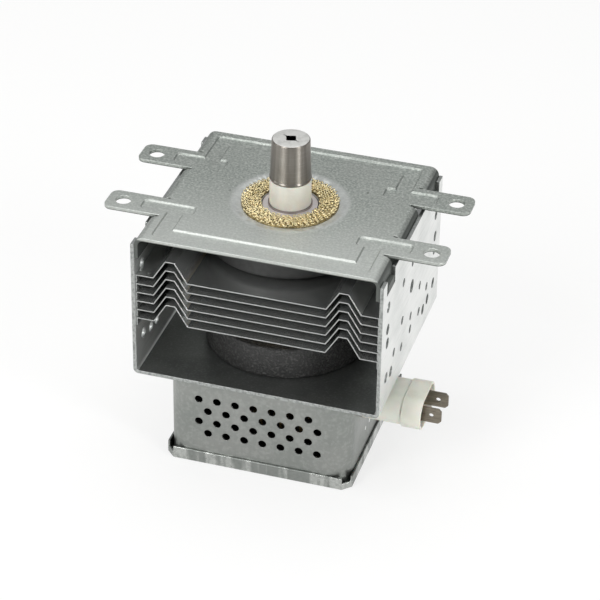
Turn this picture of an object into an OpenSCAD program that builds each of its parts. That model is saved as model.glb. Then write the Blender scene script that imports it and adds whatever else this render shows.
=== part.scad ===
// Packaged magnetron of the kind that feeds a microwave oven, in millimetres.
// Origin: the antenna axis on the upper face of the top plate, where it bolts to the waveguide.
// +Z runs along the antenna, +X towards the filament tabs and +Y to the rear.

/* [Yoke] */
// Width across the outer faces of the frame's walls
yoke_w = 93.2; // [90:0.2:100]
// Depth from the front edge to the rear edge
yoke_d = 81.6; // [80:0.2:92]
// Thickness of the yoke's steel sheet
sheet_t = 1.4; // [1:0.1:1.6]
// Inner radius of the frame's bends
bend_in = 0.6; // [0.4:0.1:1.2]
// Inner radius of the top plate's bends
crown_in = 2; // [1.4:0.1:2.4]
// Height of the top plate's side flanges, from its upper face
flange_h = 9; // [8.4:0.2:10.4]
// Step from the top plate's upper face down to the walls' top edge
wall_drop = 3.2; // [2.6:0.1:3.8]

/* [Mounting lugs] */
// Hole spacing along X
lug_pitch_x = 115; // [112:0.5:124]
// Hole spacing along Y
lug_pitch_y = 35.6; // [33:0.2:38]
// Width of a lug
lug_w = 12; // [10:0.5:13]
// Diameter of a lug's hole
lug_hole_d = 5.8; // [4:0.1:6.6]
// Distance from a hole's centre to the lug's tip
lug_end = 6; // [5:0.5:8]
// Corner radius of a lug's tip
lug_r = 3; // [1:0.5:4.5]
// Width of the relief slot beside a lug's root
lug_relief = 1; // [0.6:0.1:1.6]

/* [Pressed grooves] */
// Width of a stiffening groove
groove_w = 6.4; // [5:0.2:7]
// Depth of a stiffening groove
groove_depth = 0.6; // [0.4:0.1:1]
// Run of a groove's sloping wall
groove_slope = 0.4; // [0.3:0.1:1]
// Corner radius of a groove, in plan
groove_r = 1.8; // [1.4:0.1:2.4]
// Distance from the front and rear edges to the groove
groove_edge = 3; // [2.4:0.2:4]
// Distance from the flange's outer face to the side groove
groove_side = 5.2; // [4:0.2:7]
// Half-distance between the inner ends of opposite lug grooves
groove_inner = 30.3; // [28:0.1:32]
// Distance from a lug's hole to the outer end of its groove
groove_tip = 7.1; // [6:0.1:9]

/* [Staked joints] */
// Width of the tab that locks the top plate in the wall
stake_w = 7.4; // [6:0.2:8.4]
// Height of the tab, up from the flange's lower edge
stake_h = 3.2; // [2:0.2:3.6]
// Distance from the front or rear edge to the tab's middle
stake_edge = 10.2; // [9:0.2:11]
// Width of the notch in the wall that takes the tab
notch_w = 10.6; // [9.6:0.2:11.4]
// Play below the tab
stake_gap = 0.3; // [0.2:0.1:0.6]

/* [Wall vents] */
// Distance from the front or rear edge to the outer column of holes
vent_edge = 7.8; // [6:0.2:9]
// Distance from the middle of the wall to the inner columns
vent_inner_y = 12.3; // [10:0.1:14]
// Distance from the outer column to the hole between it and the inner column
vent_between = 10; // [8:0.1:12]
// Distance from the outer column to the lone hole low in the wall, on one side
vent_lone = 6.5; // [5:0.1:7]
// Distance from the outer column to the nearer hole of the low pair, on the other side
vent_pair = 8; // [6:0.1:8.4]
// Distance between the two holes of the low pair
vent_pair_pitch = 6.3; // [5:0.1:7]
// Diameter of the outer column's holes
vent_outer_d = 4; // [3:0.2:4.6]
// Diameter of the inner holes
vent_inner_d = 3.2; // [2.4:0.2:4]
// Diameter of the hole at the middle of the wall
vent_middle_d = 5; // [4:0.2:6]

/* [Magnets and anode] */
// Outer diameter of a ferrite ring
magnet_d = 61.5; // [58:0.5:63]
// Thickness of a ferrite ring
magnet_t = 12.7; // [11.5:0.1:14]
// Edge chamfer of a ferrite ring
magnet_chamfer = 0.8; // [0.3:0.1:1.5]
// Gap between a ring's bore and the seal cup inside it
magnet_gap = 0.9; // [0.4:0.1:2]
// Outer diameter of the copper anode
anode_d = 40; // [38:0.5:42]
// Wall of the anode
anode_wall = 2.5; // [2:0.1:3]
// Length of the anode
anode_h = 28.6; // [28:0.2:32]
// Number of resonator vanes
vane_count = 10; // [8:2:12]
// Height of a vane
vane_h = 9.5; // [8.5:0.1:10]
// Thickness of a vane
vane_t = 2; // [1.4:0.1:2.1]
// Radius of the space that the vanes leave for the cathode
vane_in = 4.5; // [4.4:0.1:5]
// Width of a strap ring
strap_w = 0.8; // [0.5:0.1:1]
// Gap between the inner and the outer strap ring
strap_gap = 0.6; // [0.55:0.05:0.8]
// Height of a strap ring
strap_h = 1; // [0.6:0.1:1.2]
// Inner radius of the inner strap ring
strap_in = 5.6; // [5.5:0.1:6]
// Thickness of a pole piece
pole_t = 2; // [1.4:0.1:2.2]
// Depth of a pole piece's funnel
pole_depth = 6; // [5:0.1:6.2]
// Radius of the hole in a pole piece
pole_hole = 4.6; // [4.2:0.1:5]
// Width of the flat lip round that hole
pole_lip = 2; // [1.6:0.1:2.4]

/* [Cooling fins] */
// Thickness of a fin
fin_t = 0.45; // [0.4:0.05:0.8]
// Distance from one fin to the next
fin_pitch = 3.66; // [3.2:0.02:3.9]
// Distance from the anode's upper end down to the first fin
fin_top = 1.3; // [1:0.1:2]
// Distance from the magnets' edge in to the foot of a fin's hump
fin_hug = 5.15; // [4.4:0.05:6]
// Height of a fin's hump
fin_hump = 7.6; // [5:0.1:8.4]
// Run of each flank of the hump
fin_flank = 4.7; // [4:0.1:5.2]
// Width of the hump's crest
fin_crest = 3.6; // [2.6:0.1:4.4]
// Setback of a fin behind the yoke's front and rear edges
fin_setback = 0.9; // [0.4:0.1:2]
// Height of the collar that grips the anode
fin_collar = 2; // [1:0.1:2.2]
// Gap between a fin's end flange and the next fin
fin_gap = 0.36; // [0.2:0.02:0.6]

/* [Seals and antenna] */
// Outer diameter of a seal cup's neck
neck_d = 20.2; // [18.8:0.1:21]
// Wall of a seal cup
seal_t = 0.8; // [0.5:0.1:0.9]
// Depth of the output cup's shoulder below the top plate's face
neck_drop = 0.6; // [0.3:0.1:1]
// Outer diameter of the antenna's ceramic
ceramic_d = 15.2; // [14:0.1:16]
// Wall of the antenna's ceramic
ceramic_wall = 2; // [1.5:0.1:2.5]
// Height of the ceramic's top above the plate
ceramic_top = 10; // [8:0.5:13]
// Height of the collar that the ceramic stands in
ceramic_collar = 0.95; // [0.6:0.05:1.6]
// Diameter of the antenna cap at its lip
cap_d = 15; // [14:0.1:15.4]
// Height of the antenna cap
cap_h = 16.2; // [14:0.2:20]
// How much narrower in radius the cap is at its top
cap_taper = 0.55; // [0.2:0.05:0.8]
// Wall of the antenna cap
cap_t = 0.5; // [0.3:0.05:0.7]
// Edge radius of the antenna cap's top
cap_edge = 0.4; // [0.2:0.05:1]
// Side of the square hole in the cap's top
cap_hole = 3.5; // [2.5:0.1:5]
// Turn of the square hole about the antenna's axis
cap_hole_turn = 17; // [0:1:45]
// Outer diameter of the pinched exhaust tube
tube_d = 5.2; // [4.4:0.1:6]
// Wall of the exhaust tube
tube_wall = 1; // [0.6:0.1:1.2]
// Height of the exhaust tube above the ceramic
tube_h = 10; // [8:0.5:12]
// Diameter of the antenna's lead
lead_d = 1.8; // [1.2:0.1:2]

/* [Mesh gasket] */
// Outer diameter of the gasket
gasket_d = 36.6; // [33:0.2:38]
// Number of knitted courses across the gasket
gasket_courses = 5; // [4:1:7]
// Depth of the dish that the gasket sits in
dish_depth = 0.6; // [0.3:0.1:0.7]
// Run of the dish's sloping rim
dish_slope = 2.8; // [1:0.1:3.4]

/* [Cathode and stem] */
// Mean radius of the filament's helix
filament_r = 2; // [1.8:0.1:2.4]
// Diameter of the filament's wire
filament_d = 0.5; // [0.3:0.05:0.6]
// Pitch of the filament's helix
filament_pitch = 1.1; // [0.9:0.05:1.6]
// Diameter of an end hat
hat_d = 7.2; // [6.6:0.1:8]
// Thickness of an end hat
hat_t = 1.2; // [0.8:0.1:1.4]
// Diameter of the cathode's leads
rod_d = 1.5; // [1:0.1:1.7]
// Offset of the side lead from the axis
rod_side = 2.4; // [2.2:0.1:2.7]
// Half-distance between the two leads in the stem's ceramic
rod_spread = 3.5; // [3:0.1:4.4]
// Drop from the anode's lower end to where the leads begin to splay
splay_drop = 3; // [2:0.2:4]
// Height over which the leads splay
splay_h = 8; // [6:0.2:9]
// Depth of the stem cup's neck below the yoke's floor
stem_drop = 1.4; // [1.2:0.1:2.4]
// Height of the stem's ceramic
stem_h = 12.2; // [10:0.2:13]
// Outer diameter of a stem terminal's sleeve
sleeve_d = 3; // [2.6:0.1:3.6]
// Length of a stem terminal's sleeve
sleeve_h = 4; // [3:0.1:5]

/* [Filter case] */
// Width of the case
case_w = 70; // [66:0.5:76]
// Depth of the case
case_d = 74; // [70:0.5:78]
// Height of the case below the yoke
case_h = 36.4; // [34:0.2:44]
// Thickness of the case's sheet
case_t = 0.8; // [0.6:0.1:1]
// Radius of the case's upright corners
case_r = 8; // [6:0.5:12]
// Edge radius of the case's roof
roof_r = 1.6; // [1.2:0.1:3]
// Diameter of a perforation in the front
perf_d = 3; // [2:0.1:3.6]
// Spacing of perforations along a row
perf_pitch = 7; // [6:0.1:7.4]
// Spacing of the rows
perf_rise = 4.93; // [4:0.01:5.4]
// Number of perforations in a row
perf_cols = 7; // [5:1:7]
// Number of rows
perf_rows = 4; // [2:1:4]
// Drop from the yoke's floor to the first row
perf_top = 9.2; // [7:0.1:11]
// Thickness of the lid's sheet
lid_t = 0.8; // [0.6:0.1:1]
// Height of the lid's flaps
lid_flap = 4; // [3:0.5:6]
// Distance from the case's corner to the end of a flap
lid_notch = 2.3; // [1.5:0.1:4]
// Height of the low flap across each of the lid's slanting corners
lid_corner = 1.8; // [1:0.1:3]

/* [Feed-through capacitor] */
// Place of the capacitor along Y
feed_y = -12.3; // [-15:0.1:-9]
// Drop from the yoke's floor to the capacitor's axis
feed_drop = 10.9; // [9:0.1:12]
// Width of the capacitor's oval body outside the case, along Y
feed_w = 21; // [20:0.1:22]
// Height of the oval body
feed_h = 11.6; // [11:0.1:12.4]
// Length of the body outside the case
feed_out = 14.9; // [12:0.1:18]
// Length of the body inside the case
feed_in = 11; // [8:0.5:13]
// Step all round from the outer body to the inner body
feed_step = 1; // [0.6:0.1:1.4]
// How far the insulating skirt stands out round the body
skirt_over = 0.6; // [0.4:0.05:0.8]
// Length of the skirt
skirt_len = 7.6; // [5:0.1:9]
// Wall of the skirt
skirt_wall = 1; // [0.7:0.1:1.2]
// Depth of the spigot that the skirt sits on
spigot = 1.4; // [1:0.1:2]
// Width of a tab
tab_w = 6.3; // [4.8:0.1:6.4]
// Thickness of a tab
tab_t = 0.8; // [0.5:0.1:1]
// Length of a tab beyond the skirt
tab_len = 6.6; // [6:0.1:9]
// Distance between the two tabs
tab_pitch = 10.4; // [9.4:0.1:11]
// Chamfer at a tab's tip
tab_chamfer = 1.1; // [0.5:0.1:1.6]
// Diameter of the hole in a tab
tab_hole = 1.7; // [1.2:0.1:2.2]
// Distance from the tab's tip to its hole
tab_hole_in = 3.8; // [3:0.1:4.6]
// Depth to which a tab is set in the body
tab_root = 6; // [4:0.2:8]
// Diameter of the pin behind a tab
pin_d = 2.4; // [1.6:0.1:2.8]
// Length of the pin beyond the body inside the case
pin_len = 5; // [4:0.2:6]
// Thickness of the earth plate
plate_t = 1; // [0.6:0.1:1.4]
// Margin of the earth plate round the capacitor
plate_margin = 3.4; // [3:0.2:5.6]
// Drop from the capacitor's axis to the earth plate's two pips
pip_drop = 13.4; // [12.8:0.1:14]
// Half-distance between the pips
pip_half = 2.6; // [1.6:0.1:4]
// Diameter of a pip
pip_d = 1.6; // [1:0.1:2]

/* [Chokes] */
// Mean radius of a choke's winding
choke_r = 4.2; // [3.8:0.1:4.6]
// Diameter of a choke's wire
choke_wire = 1.5; // [1.2:0.1:1.6]
// Pitch of a choke's winding
choke_pitch = 2.6; // [2.2:0.1:2.8]
// Number of turns
choke_turns = 8; // [6:1:8]
// Play between a choke's core and its winding
choke_gap = 0.15; // [0.1:0.05:0.4]
// How far a core stands out of its winding at each end
core_out = 1.5; // [0.5:0.1:2.5]
// Height of a choke's axis above the lid
choke_lift = 9.8; // [8:0.1:11]
// Distance between the axes of the two chokes
choke_pitch_y = 15; // [13:0.2:16]
// Place of a winding's first turn along X
choke_x = 14; // [12:0.2:15]

/* [Hidden] */
$fn = 64;
// Clearance of a close fit, and of a hole that something passes through
fit = 0.05;
pass = 0.3;
// Sides of a wire's section, and points for each turn of a winding
wire_sides = 8;
turn_points = 16;
far = 200;

bend_out = bend_in + sheet_t;
crown_out = crown_in + sheet_t;
wall_in = yoke_w / 2 - sheet_t;
flange_x = wall_in - fit;
magnet_r = magnet_d / 2;
fin_flat = magnet_r - fin_hug;
neck_r = neck_d / 2;
anode_r = anode_d / 2;
anode_in = anode_r - anode_wall;

// Heights, stacked down from the top plate
magnet_1_z = -sheet_t - magnet_t;
anode_top = magnet_1_z - seal_t;
anode_bottom = anode_top - anode_h;
anode_mid = anode_top - anode_h / 2;
magnet_2_z = anode_bottom - seal_t - magnet_t;
floor_z = magnet_2_z - sheet_t;
vane_top = anode_mid + vane_h / 2;
vane_bottom = anode_mid - vane_h / 2;

// Antenna
shoulder_z = -neck_drop;
ceramic_in = ceramic_d / 2 - ceramic_wall;
cap_r = cap_d / 2;
gasket_in = neck_r + fit;
gasket_out = gasket_d / 2;
lead_x = strap_in + 2 * strap_w + strap_gap + lead_d / 2 + pass;

// Cathode
hat_high = anode_mid + vane_h / 2 - hat_t / 2;
hat_low = anode_mid - vane_h / 2 + hat_t / 2;
splay_top = anode_bottom - splay_drop;
splay_bottom = splay_top - splay_h;
stem_z = floor_z - stem_drop;
stem_bottom = stem_z - stem_h;

// Filter case
case_bottom = floor_z - case_h;
lid_bottom = case_bottom - lid_t;
feed_z = floor_z - feed_drop;
skirt_x = case_w / 2 + feed_out;
tab_x = skirt_x + skirt_len + tab_len;
pin_end = case_w / 2 - feed_in - pin_len;
tab_front_y = feed_y - tab_pitch / 2;
tab_rear_y = feed_y + tab_pitch / 2;

// Chokes
core_r = choke_r - choke_wire / 2 - choke_gap;
choke_z = case_bottom + choke_lift;
choke_len = choke_turns * choke_pitch;
choke_front_y = tab_front_y;
choke_rear_y = choke_front_y + choke_pitch_y;

function unit(v) = v / norm(v);

// Direction of a path at one of its points
function heading(path, i) =
    unit(path[min(i + 1, len(path) - 1)] - path[max(i - 1, 0)]);

// Ring of points round a path at one of its points
function ring(path, i, r, ref) =
    let (
        t = heading(path, i),
        b = unit(cross(t, ref)),
        n = cross(b, t)
    )
    [for (k = [0:wire_sides - 1])
        let (a = 360 * k / wire_sides)
        path[i] + r * (cos(a) * n + sin(a) * b)];

// Open outline moved sideways by t, with mitred corners
function normal_2d(a, b) = let (d = unit(b - a)) [d[1], -d[0]];
function mitre(points, i, t) =
    let (
        last = len(points) - 1,
        n0 = normal_2d(points[max(i - 1, 0)], points[max(i, 1)]),
        n1 = normal_2d(points[min(i, last - 1)], points[min(i + 1, last)])
    )
    points[i] + t * (n0 + n1) / (1 + n0 * n1);
function thicken(points, t) =
    concat(points, [for (i = [len(points) - 1:-1:0]) mitre(points, i, t)]);

// Round wire along a path; ref is a direction that the path never takes
module wire(path, r, ref) {
    s = wire_sides;
    n = len(path);
    skin = [for (i = [0:n - 2], k = [0:s - 1])
        let (a = i * s + k, b = i * s + (k + 1) % s)
        each [[a, a + s, b], [b, a + s, b + s]]];
    ends = [
        [for (k = [0:s - 1]) k],
        [for (k = [s - 1:-1:0]) (n - 1) * s + k]
    ];
    polyhedron(
        points = [for (i = [0:n - 1]) each ring(path, i, r, ref)],
        faces = concat(skin, ends)
    );
}

// Rectangle with round corners, between two opposite corners
module round_rect(low, high, r) {
    translate([low[0] + r, low[1]]) square([high[0] - low[0] - 2 * r, high[1] - low[1]]);
    translate([low[0], low[1] + r]) square([high[0] - low[0], high[1] - low[1] - 2 * r]);
    for (x = [low[0] + r, high[0] - r], y = [low[1] + r, high[1] - r])
        translate([x, y]) circle(r);
}

// Section of the capacitor, an oval along Y with round ends, grown all round by a margin
module feed_oval(margin) {
    r = feed_h / 2 + margin;
    side = feed_w - feed_h;
    square([2 * r, side], center = true);
    for (y = [-side / 2, side / 2])
        translate([0, y]) circle(r);
}

// Same shape at all four places that mirror each other in X and Y
module four_ways() {
    for (x = [0, 1], y = [0, 1])
        mirror([x, 0, 0]) mirror([0, y, 0]) children();
}

// Solid of a pressed band: a rounded rectangle whose walls slope inwards as it goes down
module band(low, high, depth, grow) {
    r = groove_r + grow;
    x0 = low[0] - grow;
    x1 = high[0] + grow;
    y0 = low[1] - grow;
    y1 = high[1] + grow;
    s = groove_slope;
    translate([x0 + r, 0, 0]) rotate([90, 0, 90]) linear_extrude(x1 - x0 - 2 * r)
        polygon([[y0, 0], [y1, 0], [y1 - s, -depth], [y0 + s, -depth]]);
    translate([0, y1 - r, 0]) rotate([90, 0, 0]) linear_extrude(y1 - y0 - 2 * r)
        polygon([[x0, 0], [x1, 0], [x1 - s, -depth], [x0 + s, -depth]]);
    for (x = [x0 + r, x1 - r], y = [y0 + r, y1 - r])
        translate([x, y, -depth]) cylinder(r1 = r - s, r2 = r, h = depth);
}

// All grooves of one quarter of the top plate
module quarter_grooves(grow) {
    x_side = flange_x - groove_side;
    y_edge = yoke_d / 2 - groove_edge;
    y_lug = lug_pitch_y / 2;
    half = groove_w / 2;
    band([-groove_r, y_edge - groove_w], [x_side, y_edge], groove_depth, grow);
    band([x_side - groove_w, y_lug - half], [x_side, y_edge], groove_depth, grow);
    band([groove_inner, y_lug - half], [lug_pitch_x / 2 - groove_tip, y_lug + half], groove_depth, grow);
}

// Section of the top plate across X, with both flanges
module plate_section() {
    r = crown_out;
    difference() {
        union() {
            translate([-flange_x + r, -flange_h]) square([2 * (flange_x - r), flange_h]);
            translate([-flange_x, -flange_h]) square([2 * flange_x, flange_h - r]);
            for (x = [-flange_x + r, flange_x - r])
                translate([x, -r]) circle(r);
        }
        translate([-flange_x + r, -far]) square([2 * (flange_x - r), far - sheet_t]);
        translate([-flange_x + sheet_t, -far]) square([2 * (flange_x - sheet_t), far - r]);
        for (x = [-flange_x + r, flange_x - r])
            translate([x, -r]) circle(crown_in);
    }
}

// Length of the top plate's section between two places along Y
module plate_run(y0, y1) {
    translate([0, y1, 0]) rotate([90, 0, 0]) linear_extrude(y1 - y0) plate_section();
}

module yoke_top() {
    lug_in = lug_pitch_y / 2 - lug_w / 2;
    lug_out = lug_pitch_y / 2 + lug_w / 2;
    tip = lug_pitch_x / 2 + lug_end;
    edge = yoke_d / 2;
    dish_r = gasket_out + 2 * fit;
    color("#9aa09c") difference() {
        union() {
            translate([0, 0, -sheet_t]) linear_extrude(sheet_t) {
                square([2 * (flange_x - crown_out), yoke_d], center = true);
                for (y = [-lug_pitch_y / 2, lug_pitch_y / 2])
                    round_rect([-tip, y - lug_w / 2], [tip, y + lug_w / 2], lug_r);
            }
            plate_run(-lug_in + lug_relief, lug_in - lug_relief);
            plate_run(lug_out + lug_relief, edge);
            plate_run(-edge, -lug_out - lug_relief);
            difference() {
                translate([0, 0, -sheet_t]) four_ways() quarter_grooves(groove_slope / 2);
                translate([0, 0, -far]) cylinder(r = magnet_r + pass, h = far);
            }
            four_ways() translate([flange_x - fit, edge - stake_edge - stake_w / 2, -flange_h])
                cube([yoke_w / 2 - flange_x + fit, stake_w, stake_h]);
        }
        four_ways() {
            quarter_grooves(0);
            translate([lug_pitch_x / 2, lug_pitch_y / 2, -far / 2]) cylinder(d = lug_hole_d, h = far);
        }
        translate([0, 0, -far / 2]) cylinder(r = neck_r + pass, h = far);
        translate([0, 0, -dish_depth])
            cylinder(r1 = dish_r, r2 = dish_r + dish_slope, h = dish_depth);
    }
}

// Holes of the right-hand wall; the left-hand wall has the same, turned half round.
// Heights are shares of the drop from the top plate to the floor.
module wall_vents() {
    edge_y = yoke_d / 2 - vent_edge;
    outer_rows = [0.265, 0.425, 0.524, 0.779];
    inner_rows = [0.305, 0.582, 0.779];
    middle_rows = [0.283, 0.682, 0.779];
    for (side = [-1, 1]) {
        for (share = outer_rows)
            vent(side * edge_y, share, vent_outer_d);
        for (share = inner_rows)
            vent(side * vent_inner_y, share, vent_inner_d);
        vent(side * (edge_y - vent_between), 0.702, vent_inner_d);
    }
    for (share = middle_rows)
        vent(0, share, vent_inner_d);
    vent(0, 0.459, vent_middle_d);
    vent(vent_lone - edge_y, 0.805, vent_outer_d);
    vent(edge_y - vent_pair, 0.819, vent_outer_d);
    vent(edge_y - vent_pair - vent_pair_pitch, 0.832, vent_outer_d);
}

// One hole through the right-hand wall, at y and at a share of the drop to the floor
module vent(y, share, d) {
    translate([0, y, share * floor_z]) rotate([0, 90, 0]) cylinder(d = d, h = far);
}

module yoke_frame() {
    half = yoke_w / 2;
    top = -wall_drop;
    color("#b9bcba") difference() {
        rotate([90, 0, 0]) linear_extrude(yoke_d, center = true) difference() {
            union() {
                round_rect([-half, floor_z], [half, floor_z + 4 * bend_out], bend_out);
                translate([-half, floor_z + bend_out]) square([2 * half, top - floor_z - bend_out]);
            }
            round_rect([-wall_in, magnet_2_z], [wall_in, magnet_2_z + 4 * bend_out], bend_in);
            translate([-wall_in, magnet_2_z + bend_out]) square([2 * wall_in, far]);
        }
        wall_vents();
        rotate([0, 0, 180]) wall_vents();
        four_ways()
            translate([0, yoke_d / 2 - stake_edge - notch_w / 2, -flange_h - stake_gap])
                cube([far, notch_w, far]);
        translate([0, 0, -far]) cylinder(r = neck_r + pass, h = far);
    }
}

// Ferrite ring with chamfered edges, standing on z
module magnet(z) {
    c = magnet_chamfer;
    r0 = neck_r + magnet_gap;
    color("#2e2e2c") translate([0, 0, z]) rotate_extrude()
        polygon([
            [r0, 0], [magnet_r - c, 0], [magnet_r, c],
            [magnet_r, magnet_t - c], [magnet_r - c, magnet_t], [r0, magnet_t]
        ]);
}

module upper_magnet() { magnet(magnet_1_z); }
module lower_magnet() { magnet(magnet_2_z); }

module anode_cylinder() {
    color("#b87a50") translate([0, 0, anode_bottom]) difference() {
        cylinder(r = anode_r, h = anode_h);
        translate([0, 0, -far / 2]) cylinder(r = anode_in, h = far);
    }
}

// Radii between which a strap ring lies; ring 0 is the inner one
function strap_low(i) = strap_in + i * (strap_w + strap_gap);
function strap_high(i) = strap_low(i) + strap_w;

// Tube of square section standing on z
module hoop(r0, r1, z, h) {
    translate([0, 0, z]) difference() {
        cylinder(r = r1, h = h);
        translate([0, 0, -far / 2]) cylinder(r = r0, h = far);
    }
}

// Vanes are notched for the straps; each vane touches one ring and clears the other
module anode_vanes() {
    sink = strap_h + 0.2;
    extra = 0.5;
    play = 0.25;
    color("#c0845a") for (i = [0:vane_count - 1])
        rotate([0, 0, 360 * i / vane_count]) intersection() {
            translate([0, 0, vane_bottom]) cylinder(r = anode_in - fit, h = vane_h);
            difference() {
                translate([vane_in, -vane_t / 2, vane_bottom]) cube([anode_in, vane_t, vane_h]);
                for (k = [0, 1]) {
                    deep = sink + (k == i % 2 ? 0 : extra);
                    hoop(strap_low(k) - play, strap_high(k) + play, vane_top - deep, far);
                    hoop(strap_low(k) - play, strap_high(k) + play, vane_bottom + deep - far, far);
                }
            }
        }
}

module strap_rings() {
    sink = strap_h + 0.2;
    color("#c98f62") for (k = [0, 1]) {
        hoop(strap_low(k), strap_high(k), vane_top - sink, strap_h);
        hoop(strap_low(k), strap_high(k), vane_bottom + sink - strap_h, strap_h);
    }
}

// Funnel-shaped pole piece with its rim at the anode's end, funnel downwards
module pole_piece() {
    rim = anode_in - fit;
    throat = pole_hole + pole_lip;
    rotate_extrude() polygon([
        [pole_hole, -pole_depth - pole_t], [throat + pole_t / 2, -pole_depth - pole_t],
        [throat + pole_depth + pole_t / 2, -pole_t], [rim, -pole_t], [rim, 0],
        [throat + pole_depth - pole_t / 3, 0], [throat - pole_t / 3, -pole_depth],
        [pole_hole, -pole_depth]
    ]);
}

module upper_pole_piece() {
    color("#8d9093") difference() {
        translate([0, 0, anode_top]) pole_piece();
        translate([lead_x, 0, vane_top]) cylinder(d = lead_d + 4 * pass, h = far);
    }
}

module lower_pole_piece() {
    color("#8d9093") translate([0, 0, anode_bottom]) mirror([0, 0, 1]) pole_piece();
}

// Fin number k, counted from the top; its ends fold down against the frame's walls
module cooling_fin(k) {
    z = anode_top - fin_top - (k - 1) * fin_pitch;
    end = wall_in - fit;
    foot = fin_flat + fin_flank;
    half = [
        [fin_flat, 0], [foot, fin_hump], [foot + fin_crest, fin_hump],
        [foot + fin_crest + fin_flank, 0], [end, 0], [end, -fin_pitch + fin_gap]
    ];
    left = [for (i = [len(half) - 1:-1:0]) [-half[i][0], half[i][1]]];
    depth = yoke_d - 2 * fin_setback;
    color("#c9cccb") difference() {
        union() {
            translate([0, 0, z]) rotate([90, 0, 0]) linear_extrude(depth, center = true)
                polygon(thicken(concat(left, half), fin_t));
            translate([0, 0, z - fin_t - fin_collar]) cylinder(r = anode_r + fin_t, h = fin_collar);
        }
        translate([0, 0, -far]) cylinder(r = anode_r + fit, h = far);
        translate([0, 0, magnet_1_z - pass]) cylinder(r = magnet_r + pass, h = far);
    }
}

module cooling_fin_1() { cooling_fin(1); }
module cooling_fin_2() { cooling_fin(2); }
module cooling_fin_3() { cooling_fin(3); }
module cooling_fin_4() { cooling_fin(4); }
module cooling_fin_5() { cooling_fin(5); }
module cooling_fin_6() { cooling_fin(6); }

// Seal cup: flange on the anode's end, neck of the given length, inturned shoulder
module seal_cup(length) {
    hole = ceramic_in + pass;
    rotate_extrude() polygon([
        [neck_r - seal_t, 0], [anode_r - seal_t, 0], [anode_r - seal_t, seal_t], [neck_r, seal_t],
        [neck_r, length], [hole, length], [hole, length - seal_t], [neck_r - seal_t, length - seal_t]
    ]);
}

module output_seal_cup() {
    r = ceramic_d / 2 + fit;
    color("#a9acad") {
        translate([0, 0, anode_top]) seal_cup(shoulder_z - anode_top);
        hoop(r, r + seal_t / 2, shoulder_z, ceramic_collar);
    }
}

module antenna_ceramic() {
    color("#d9d7cd") hoop(ceramic_in, ceramic_d / 2, shoulder_z, ceramic_top - shoulder_z);
}

// Copper tube on a disc; its end is pinched flat to a blunt wedge
module exhaust_tube() {
    disc_r = cap_r - cap_t - 2 * fit;
    r = tube_d / 2;
    blunt = tube_wall / 3;
    neck = tube_h - tube_d;
    color("#b87a50") translate([0, 0, ceramic_top]) difference() {
        union() {
            cylinder(r = disc_r, h = seal_t);
            intersection() {
                cylinder(r = r, h = tube_h);
                rotate([90, 0, 0]) linear_extrude(2 * tube_d, center = true)
                    polygon([[-r, 0], [r, 0], [r, neck], [blunt, tube_h], [-blunt, tube_h], [-r, neck]]);
            }
        }
        translate([0, 0, -1]) cylinder(r = r - tube_wall, h = neck + 1);
    }
}

// Tapered drawn cap with a rolled lip and a square hole in its top
module antenna_cap() {
    top_r = cap_r - cap_taper;
    top = cap_h;
    bead = 0.45;
    lift = 0.7;
    color("#b5b2ae") translate([0, 0, ceramic_top]) difference() {
        rotate_extrude() difference() {
            union() {
                polygon([[0, 0], [cap_r, 0], [top_r, top - cap_edge], [0, top - cap_edge]]);
                square([top_r - cap_edge, top]);
                translate([top_r - cap_edge, top - cap_edge]) circle(cap_edge);
                translate([cap_r - bead / 2, lift]) circle(bead);
            }
            polygon([
                [-1, -1], [cap_r - cap_t, -1], [cap_r - cap_t, 0],
                [top_r - cap_t, top - cap_t], [-1, top - cap_t]
            ]);
            translate([-2, -1]) square([2, top + 2]);
        }
        translate([0, 0, top]) rotate([0, 0, cap_hole_turn])
            cube([cap_hole, cap_hole, 4 * cap_t], center = true);
    }
}

// Lead from one vane through the upper pole piece and up into the exhaust tube
module antenna_lead() {
    bend_z = anode_top - pole_t;
    axis_z = shoulder_z - neck_r / 2;
    end_z = ceramic_top + tube_h - tube_d - pass;
    color("#c98f62") wire([
        [lead_x, 0, vane_top], [lead_x, 0, bend_z], [0, 0, axis_z], [0, 0, end_z]
    ], lead_d / 2, [0, 1, 0]);
}

// Knitted ring, shown as courses of wire laid side by side
module rf_gasket() {
    course = (gasket_out - gasket_in) / gasket_courses;
    color("#c9a94f") translate([0, 0, -dish_depth]) rotate_extrude() {
        translate([gasket_in + course / 2, 0])
            square([gasket_out - gasket_in - course, 0.75 * course]);
        for (i = [0:gasket_courses - 1])
            translate([gasket_in + (i + 0.5) * course, course / 2]) circle(course / 2);
    }
}

module filament() {
    low = hat_low + hat_t / 2 + filament_d / 2 + fit;
    high = hat_high - hat_t / 2 - filament_d / 2 - fit;
    turns = (high - low) / filament_pitch;
    steps = ceil(turns * turn_points);
    color("#6f6f74") wire([for (i = [0:steps])
        let (a = 360 * turns * i / steps)
        [filament_r * cos(a), filament_r * sin(a), low + (high - low) * i / steps]],
        filament_d / 2, [0, 0, 1]);
}

module upper_end_hat() {
    color("#77777c") hoop(rod_d / 2 + fit, hat_d / 2, hat_high - hat_t / 2, hat_t);
}

module lower_end_hat() {
    color("#77777c") hoop(rod_d / 2 + pass, hat_d / 2, hat_low - hat_t / 2, hat_t);
}

module centre_lead() {
    end = stem_bottom - sleeve_h + pass;
    color("#8a8a8e") wire([
        [0, 0, hat_high + hat_t / 2], [0, 0, splay_top],
        [-rod_spread, 0, splay_bottom], [-rod_spread, 0, end]
    ], rod_d / 2, [0, 1, 0]);
}

module side_lead() {
    end = stem_bottom - sleeve_h + pass;
    color("#8a8a8e") wire([
        [rod_side, 0, hat_low - hat_t / 2], [rod_side, 0, splay_top],
        [rod_spread, 0, splay_bottom], [rod_spread, 0, end]
    ], rod_d / 2, [0, 1, 0]);
}

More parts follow.
